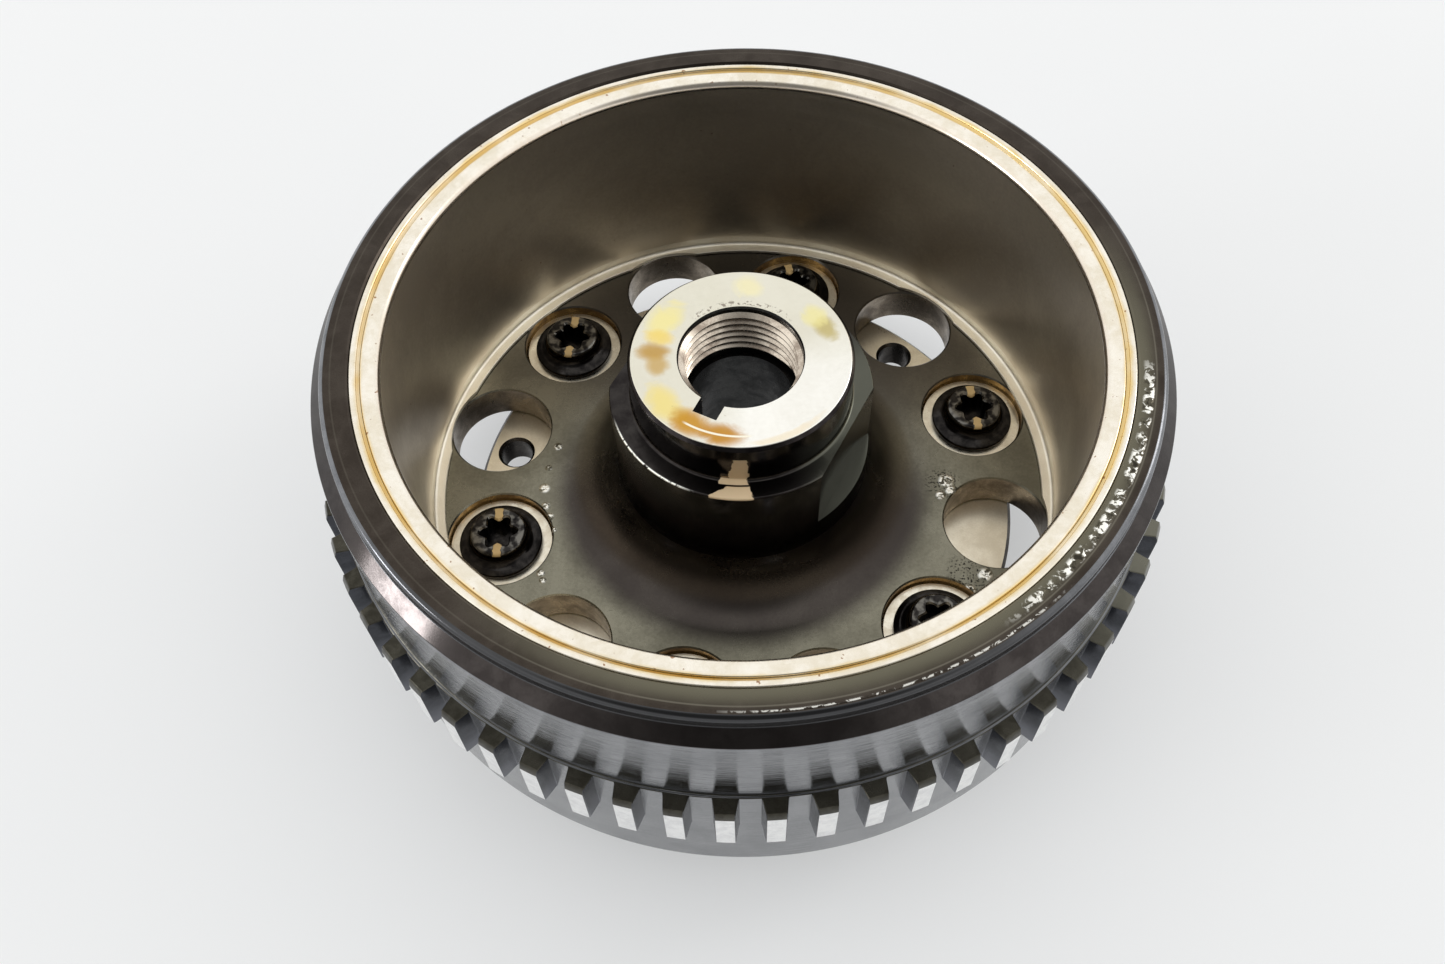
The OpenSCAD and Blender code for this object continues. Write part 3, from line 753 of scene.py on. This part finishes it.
def build_forging():
    body = revolve("forging", forging_profile(), 480)
    places = [k for k in range(TOOTH_PLACES) if k not in GAPS]
    teeth = [tooth(TOOTH_TURN + k * 360 / TOOTH_PLACES) for k in places]
    boolean(body, join("teeth", teeth), "UNION")
    boolean(body, forging_cutters(), "DIFFERENCE")
    names = [name for name, _ in FORGING_LOOKS]
    for _, make in FORGING_LOOKS:
        body.data.materials.append(make())
    for face in body.data.polygons:
        face.material_index = names.index(forging_look(face.center, face.normal))
    smooth(body, 25)
    stand_for(body, "rotor", "forged_steel", "flywheel_body")


def stand_for(obj, body, slot, *nodes):
    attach(obj, body)
    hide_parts(*nodes)
    return obj


def build_thread():
    """Right-handed thread ridge in the hub, broken by the keyway."""
    pitch, depth, turns, steps = 1.5, 0.85, 5.9, 90
    low = RIM_Z - HUB_FACE - THREAD_LEN + 0.6
    key_half = math.degrees(math.asin(KEY_W / 2 / THREAD_R)) + 0.3
    runs, run = [], []
    for i in range(int(turns * steps) + 1):
        degrees = 360 * i / steps
        away = (degrees - KEY_TURN + 180) % 360 - 180
        if abs(away) < key_half:
            if len(run) > 2:
                runs.append(run)
            run = []
            continue
        z = low + pitch * degrees / 360
        fade = min(1.0, i / 12, (turns * steps - i) / 30)
        crest = THREAD_R - depth * max(fade, 0.05)
        foot = THREAD_R - 0.02
        section = [(foot, z), (foot, z + 0.16), (crest, z + 0.66), (crest, z + 0.84), (foot, z + 1.34)]
        run.append([(*polar(r, degrees), h) for r, h in section])
    if len(run) > 2:
        runs.append(run)
    ridge = join("puller_thread", [loft("run", r) for r in runs])
    ridge.data.materials.append(make_thread())
    smooth(ridge, 40)
    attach(ridge, "rotor")


def build_liner():
    lip_r = 1.35
    foot = at(LINER_R + LINER_T - FOOT_BEND, WEB_TOP - 0.1 - FOOT_BEND)
    profile = [
        *arc(at(LINER_R + lip_r, 0.6 + lip_r), lip_r, 180, 90, 14), at(57.9, 0.6),
        *arc(at(58, 0.95), 0.35, 80, -80, 8),
        *arc(at(LINER_R + lip_r, 0.6 + lip_r), lip_r - LINER_T, 90, 180, 8),
        at(LINER_R + LINER_T, FOOT_BLEND), *arc(foot, FOOT_BEND, 0, -90, 14),
        at(LINER_FOOT_R + 0.1, WEB_TOP - 0.1), at(LINER_FOOT_R, WEB_TOP - 0.2),
        at(LINER_FOOT_R, WEB_TOP - 0.7), at(LINER_FOOT_R + 0.1, WEB_TOP - 0.8),
        *arc(foot, FOOT_BEND - LINER_T, -90, 0, 12), at(LINER_R, FOOT_BLEND),
    ]
    cover = revolve("liner_cover", profile, 480)
    low = RIM_Z - WEB_TOP
    cut = hole_profile([(SCALLOP_R, low - 0.5), (SCALLOP_R, low + 2.5)], low - 0.5, low + 2.5)
    places = [polar(SCALLOP_REACH - SCALLOP_R, WINDOW_TURN + 60 * k) for k in SIX]
    scallops = [revolve("scallop", cut, 192, place) for place in places]
    boolean(cover, join("scallops", scallops), "DIFFERENCE")
    for make in (make_cream, make_liner, make_liner_foot):
        cover.data.materials.append(make())
    for face in cover.data.polygons:
        depth = RIM_Z - face.center.z / MM
        face.material_index = 0 if depth < 1.9 else 1 if depth < FOOT_BLEND else 2
    smooth(cover, 35)
    stand_for(cover, "rotor", "liner_steel", "magnet_cover")


def build_mouth_ring():
    skirt_r, inner_r, foot = 58.38, 58.8, 1.5
    profile = [
        at(skirt_r, foot), at(skirt_r, 0.85), at(skirt_r + 0.17, 0.78), at(inner_r, 0.6),
        *arc(at(inner_r + 0.4, 0.62), 0.42, 165, 90, 6),
        *arc(at(CUP_BORE_R - 0.4, 0.55), 0.35, 90, 0, 6), at(CUP_BORE_R - 0.05, foot),
    ]
    ring = revolve("pale_mouth_ring", profile, 480)
    ring.data.materials.append(make_cream())
    smooth(ring, 35)
    stand_for(ring, "rotor", "mouth_ring", "mouth_ring")


def relief_cutters():
    """Hollows under the housing's flange, between the screws."""
    outline = [polar(RELIEF_R, RELIEF_HALF - RELIEF_HALF * i / 8) for i in range(17)]
    outline += [polar(HOUSING_R + 4, -RELIEF_HALF + RELIEF_HALF * i / 8) for i in range(17)]
    return [turned(prism("relief", outline, -0.5, RELIEF_H), WINDOW_TURN + 60 * k) for k in SIX]


def build_housing():
    top = HOUSING_TOP
    profile = [
        (RACE_R, GROOVE_Z + GROOVE_H), (RACE_R, top - RECESS_D), (RECESS_R, top - RECESS_D),
        (RECESS_R, top - 0.2), (RECESS_R + 0.2, top), (HOUSING_R - 0.6, top), (HOUSING_R, top - 0.6),
        (HOUSING_R, 0.8), (HOUSING_R - 0.8, 0), (RACE_R + 0.5, 0), (RACE_R, 0.5), (RACE_R, GROOVE_Z),
        (GROOVE_R, GROOVE_Z), (GROOVE_R, GROOVE_Z + GROOVE_H),
    ]
    ring = revolve("clutch_race_ring", profile, 384)
    boolean(ring, join("reliefs", relief_cutters()), "DIFFERENCE")
    small = hole_profile([
        (SMALL_HOLE_R + 0.4, RELIEF_H - 0.05), (SMALL_HOLE_R, RELIEF_H + 0.35),
        (SMALL_HOLE_R, top - 0.5), (SMALL_HOLE_R + 0.55, top + 0.05),
    ], RELIEF_H - 0.05, top + 0.05)
    tapped = hole_profile([(TAPPED_R + 0.5, -0.1), (TAPPED_R, 0.5), (TAPPED_R, top + 0.1)], -0.1, top + 0.1)
    small_places = [polar(SMALL_CIRCLE_R, WINDOW_TURN + 120 * k) for k in range(3)]
    cutters = [revolve("small", small, 64, place) for place in small_places]
    tapped_places = [polar(SCREW_CIRCLE_R, SCREW_TURN + 60 * k) for k in SIX]
    cutters += [revolve("tapped", tapped, 64, place) for place in tapped_places]
    boolean(ring, join("cutters", cutters), "DIFFERENCE")
    for make in (make_housing, make_housing_side):
        ring.data.materials.append(make())
    for face in ring.data.polygons:
        # Flat faces and the bore keep the pale metal; sides and holes get the painted shade.
        unshaded_face = abs(face.normal.z) > 0.9 or face.center.xy.length < (RECESS_R + 0.4) * MM
        face.material_index = 0 if unshaded_face else 1
    smooth(ring, 30)
    stand_for(ring, "rotor", "housing_steel", "clutch_housing")


def screw_mesh():
    """One screw on its own axis, seat face at zero, with a six-lobed socket."""
    head_r, top_r, head_h, flange, dip, shank, length = 7.3, 4.9, 4.3, 1.2, 1.6, 3.95, 20.0
    socket_r, sides = 2.75, 96
    body = revolve("screw", [
        (0, -length), (shank - 0.6, -length), (shank, -length + 0.6), (shank, -0.4), (shank, 0),
        (head_r - 0.15, 0), (head_r, 0.15), (head_r, flange - 0.5),
        *arc((head_r - 0.4, flange - 0.4), 0.4, 10, 90, 4),
        *arc((top_r + dip, flange + 0.3 + dip), dip, 268, 180, 14),
        *arc((top_r - 0.6, head_h - 0.6), 0.6, 0, 90, 6), (0, head_h),
    ], sides)
    turns = [TAU * k / sides for k in range(sides)]
    rings = []
    for z, grow in ((head_h - 3.2, 0.0), (head_h - 0.3, 0.0), (head_h + 0.1, 0.45)):
        reach = [socket_r + 0.5 * math.cos(6 * t) + grow for t in turns]
        rings.append([(r * math.cos(t), r * math.sin(t), z) for r, t in zip(reach, turns)])
    boolean(body, loft("socket", rings), "DIFFERENCE")
    return smooth(body, 32)


def build_screws():
    first = screw_mesh()
    look = make_screw()
    paint_turns = (4.0, 10.0, -6.0, 2.0, 0.0, -62.0)
    made = []
    for k in SIX:
        screw = first if k == 0 else bpy.data.objects.new("screw", first.data.copy())
        screw.name = f"housing_screw_{k + 1}"
        if k:
            bpy.context.scene.collection.objects.link(screw)
        x, y = polar(SCREW_CIRCLE_R, SCREW_TURN + 60 * k)
        screw.location = Vector((x, y, RIM_Z - SEAT)) * MM
        screw.rotation_euler = (0, 0, math.radians(paint_turns[k]))
        screw.data.materials.clear()
        screw.data.materials.append(look)
        made.append(screw)
    for screw in made:
        stand_for(screw, "rotor", "screw_black", "clutch_screws")


def build_cages():
    look = make_clutch_steel("cage", (0.3, 0.28, 0.25), (0.5, 0.47, 0.43))
    flange_foot = HOUSING_TOP - RECESS_D + 0.3
    inner = OUTER_CAGE_R - CAGE_T
    outer = [
        (inner, CAGE_FOOT), (OUTER_CAGE_R, CAGE_FOOT), (OUTER_CAGE_R, flange_foot),
        (FLANGE_R - 0.2, flange_foot), (FLANGE_R, flange_foot + 0.2), (FLANGE_R, flange_foot + 0.8),
        (FLANGE_R - 0.2, flange_foot + 1), (inner + 0.5, flange_foot + 1), (inner, flange_foot + 0.5),
    ]
    inner_in = INNER_CAGE_R - CAGE_T
    low, high = CAGE_FOOT + 0.2, SPRAG_FOOT + SPRAG_LEN + 1.3
    small = [(inner_in, low), (INNER_CAGE_R, low), (INNER_CAGE_R, high), (inner_in, high)]
    slot_half, slot_low, slot_high = 2.9, 4.5, 14.7
    for name, profile, from_r, node in (("outer_strip", outer, 28.2, "clutch_outer_cage"),
                                        ("inner_strip", small, 23.5, "clutch_inner_cage")):
        cage = revolve(name, profile, 320)
        to_r = from_r + 5
        outline = [(from_r, -slot_half), (to_r, -slot_half), (to_r, slot_half), (from_r, slot_half)]
        slots = []
        for k in range(SPRAG_COUNT):
            slots.append(turned(prism("slot", outline, slot_low, slot_high), k * 360 / SPRAG_COUNT))
        boolean(cage, join("slots", slots), "DIFFERENCE")
        cage.data.materials.append(look)
        smooth(cage, 30)
        stand_for(cage, "clutch_cage", "cage_steel", node)


def build_sprags():
    look = make_clutch_steel("sprag", (0.42, 0.43, 0.45), (0.6, 0.61, 0.63), (0.1, 0.22))
    half_w, reach = SPRAG_W / 2, SPRAG_H / 2
    corner = math.degrees(math.asin(half_w / reach))
    waist_x, waist_y, waist_r = 0.45, 4.0, 2.55
    outline = arc((0, 0), reach, -corner, corner, 12)
    outline += arc((waist_x, waist_y), waist_r, -42, -138, 12)
    outline += arc((0, 0), reach, 180 - corner, 180 + corner, 12)
    outline += arc((-waist_x, -waist_y), waist_r, 138, 42, 12)
    outline = [(x, max(-half_w, min(half_w, y))) for x, y in outline]
    low, high = SPRAG_FOOT, SPRAG_FOOT + SPRAG_LEN
    levels = ((low, 0.965), (low + 0.15, 1), (high - 0.15, 1), (high, 0.965))
    rings = [[(x * k, y * k, z) for x, y in outline] for z, k in levels]
    tab = [(-0.9, -1.2), (0.1, -1.2), (0.1, 1.2), (-0.9, 1.2)]
    wedge = boolean(loft("wedge", rings), prism("tab", tab, low - 1.1, high + 1.1), "UNION")
    wedge.data.materials.append(look)
    smooth(wedge, 30)
    for k in range(SPRAG_COUNT):
        piece = bpy.data.objects.new(f"wedge_{k + 1:02d}", wedge.data.copy())
        bpy.context.scene.collection.objects.link(piece)
        turned(piece, k * 360 / SPRAG_COUNT, (SPRAG_CIRCLE_R, 0, 0))
        node = f"sprag_{k + 1:02d}"
        stand_for(piece, node, "sprag_steel", node)
    bpy.data.objects.remove(wedge)


def build_springs():
    """Garter springs as wound wire, closed into rings."""
    look = make_clutch_steel("spring", (0.45, 0.45, 0.46), (0.66, 0.66, 0.68))
    coils, per_coil, wire, sides = 220, 10, 0.17, 6
    count, coil_r = coils * per_coil, WIRE_R - wire
    up = Vector((0, 0, 1))
    for name, z in (("upper", SPRAG_FOOT + SPRAG_LEN + 0.7), ("lower", SPRAG_FOOT - 0.7)):
        verts, faces = [], []
        for i in range(count):
            a, w = TAU * i / count, TAU * i / per_coil
            out = Vector((math.cos(a), math.sin(a), 0))
            side = Vector((-math.sin(a), math.cos(a), 0))
            along = math.cos(w) * out + math.sin(w) * up
            centre = (SPRING_R + coil_r * math.cos(w)) * out + (z + coil_r * math.sin(w)) * up
            for k in range(sides):
                t = TAU * k / sides
                verts.append(centre + wire * (math.cos(t) * along + math.sin(t) * side))
        for i in range(count):
            j = (i + 1) % count
            for k in range(sides):
                n = (k + 1) % sides
                faces.append((i * sides + k, i * sides + n, j * sides + n, j * sides + k))
        spring = face_outwards(new_object(f"wound_spring_{name}", verts, faces))
        spring.data.materials.append(look)
        smooth(spring, 60)
        stand_for(spring, "clutch_cage", "spring_steel", f"garter_spring_{name}")


def build_retaining_ring():
    """Open ring with rounded ends, of a flat section with broken edges."""
    inner, outer = RACE_R - 1.2, GROOVE_R - 0.3
    low, high = GROOVE_Z + 0.1, GROOVE_Z + GROOVE_H - 0.1
    start, end, steps, edge, tuck = 98.0, 442.0, 300, 0.12, 0.25
    rings = []
    for i in range(steps + 1):
        degrees = start + (end - start) * i / steps
        pinch = tuck if i in (0, steps) else 0.0
        near, far = inner + pinch, outer - pinch
        section = [
            (near, low + edge), (near + edge, low), (far - edge, low), (far, low + edge),
            (far, high - edge), (far - edge, high), (near + edge, high), (near, high - edge),
        ]
        rings.append([(*polar(r, degrees), z) for r, z in section])
    ring = loft("wire_ring", rings)
    ring.data.materials.append(make_clutch_steel("ring", (0.12, 0.12, 0.13), (0.24, 0.24, 0.25)))
    smooth(ring, 30)
    stand_for(ring, "rotor", "ring_steel", "retaining_ring")


def dress_hidden():
    """Materials of the CAD pieces that stay as they are: magnets and their spacer."""
    magnet = metal("magnet", (0.1, 0.1, 0.11), (0.22, 0.22, 0.23), (0.35, 0.5), patch=0.5).material
    oil = make_groove()
    for name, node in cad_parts.items():
        if name.startswith("magnet_") and name != "magnet_cover":
            node.data.materials.clear()
            node.data.materials.append(oil if name == "magnet_spacer" else magnet)


# ---------------------------------------------------------------- stage

LENS, SENSOR = 32.516, 36.0
PITCH, YAW, ROLL = 1.0028, -0.0284, -0.0363
CAMERA_BACK, CAMERA_RISE = 2.1335, 2.5981


def build_camera():
    """The photo's camera; its place is measured from the rim's middle in cup radii."""
    data = bpy.data.cameras.new("camera")
    data.lens, data.sensor_width = LENS, SENSOR
    data.clip_start, data.clip_end = 0.01, 20.0
    camera = bpy.data.objects.new("camera", data)
    bpy.context.scene.collection.objects.link(camera)
    look = Vector((math.sin(YAW) * math.cos(PITCH), math.cos(YAW) * math.cos(PITCH), -math.sin(PITCH)))
    right = Vector((math.cos(YAW), -math.sin(YAW), 0))
    up = right.cross(look)
    side = math.cos(ROLL) * right + math.sin(ROLL) * up
    top = -math.sin(ROLL) * right + math.cos(ROLL) * up
    place = Vector((0, -CAMERA_BACK * CUP_BORE_R, RIM_Z + CAMERA_RISE * CUP_BORE_R)) * MM
    camera.matrix_world = Matrix.Translation(place) @ Matrix((side, top, -look)).transposed().to_4x4()
    bpy.context.scene.camera = camera


def area_light(name, place, size, power, tint):
    data = bpy.data.lights.new(name, "AREA")
    data.shape = "RECTANGLE"
    data.size, data.size_y = size
    data.energy, data.color = power, tint
    light = bpy.data.objects.new(name, data)
    bpy.context.scene.collection.objects.link(light)
    light.location = place
    light.rotation_euler = (Vector((0, 0, 0.03)) - Vector(place)).to_track_quat("-Z", "Y").to_euler()


def build_lights():
    area_light("left_softbox", (-1.5, -0.36, 0.28), (0.5, 0.22), 7.0, (0.97, 0.98, 1.0))
    area_light("right_softbox", (1.4, 0.6, 0.9), (0.4, 0.7), 3.0, (1.0, 0.99, 0.97))


ROOM_LEVEL = 1.25
ROOM = (
    # azimuth, elevation, full within, gone beyond, level
    (90.0, 50.0, 25.0, 60.0, 1.05),
    (-90.0, 42.0, 20.0, 48.0, 0.2),
)


def with_lobe(tree, towards, level, azimuth, elevation, full, gone, dim):
    """The room's light level, changed to another one round a direction."""
    flat = polar(math.cos(math.radians(elevation)), azimuth)
    dot = tree.nodes.new("ShaderNodeVectorMath")
    dot.operation = "DOT_PRODUCT"
    dot.inputs[1].default_value = (*flat, math.sin(math.radians(elevation)))
    tree.links.new(towards, dot.inputs[0])
    lobe = tree.nodes.new("ShaderNodeMapRange")
    lobe.interpolation_type = "SMOOTHSTEP"
    lobe.inputs[1].default_value = math.cos(math.radians(gone))
    lobe.inputs[2].default_value = math.cos(math.radians(full))
    tree.links.new(dot.outputs["Value"], lobe.inputs[0])
    blend = tree.nodes.new("ShaderNodeMix")
    tree.links.new(lobe.outputs[0], blend.inputs[0])
    blend.inputs[3].default_value = dim
    if isinstance(level, float):
        blend.inputs[2].default_value = level
    else:
        tree.links.new(level, blend.inputs[2])
    return blend.outputs[0]


def build_world():
    """Pale room all round: a little dimmer at the back, dark above the camera's side."""
    world = bpy.data.worlds.new("room")
    world.use_nodes = True
    bpy.context.scene.world = world
    tree = world.node_tree
    towards = tree.nodes.new("ShaderNodeTexCoord").outputs["Generated"]
    level = ROOM_LEVEL
    for lobe in ROOM:
        level = with_lobe(tree, towards, level, *lobe)
    tree.links.new(level, tree.nodes["Background"].inputs[1])
    tree.nodes["Background"].inputs[0].default_value = (1.0, 1.0, 0.985, 1.0)


def build_floor():
    half = 2500
    corners = [(-half, -half, 0), (half, -half, 0), (half, half, 0), (-half, half, 0)]
    floor = new_object("floor", corners, [(0, 1, 2, 3)])
    # Painted light: the floor glows a little, which fills in the shadows under and round the rotor.
    s = Shade("floor", Specular_IOR_Level=0.2, Roughness=0.6,
              Emission_Color=(0.97, 0.985, 1.0, 1.0), Emission_Strength=0.34)
    s.colour(s.mix(s.noise(0.01, detail=3.0), (0.54, 0.545, 0.55), (0.56, 0.562, 0.565)))
    floor.data.materials.append(s.material)


def main():
    scene = bpy.context.scene
    scene.view_settings.view_transform = "Standard"
    build_camera()
    build_lights()
    build_world()
    build_floor()
    build_forging()
    build_thread()
    build_liner()
    build_mouth_ring()
    build_housing()
    build_screws()
    build_cages()
    build_sprags()
    build_springs()
    build_retaining_ring()
    dress_hidden()


main()
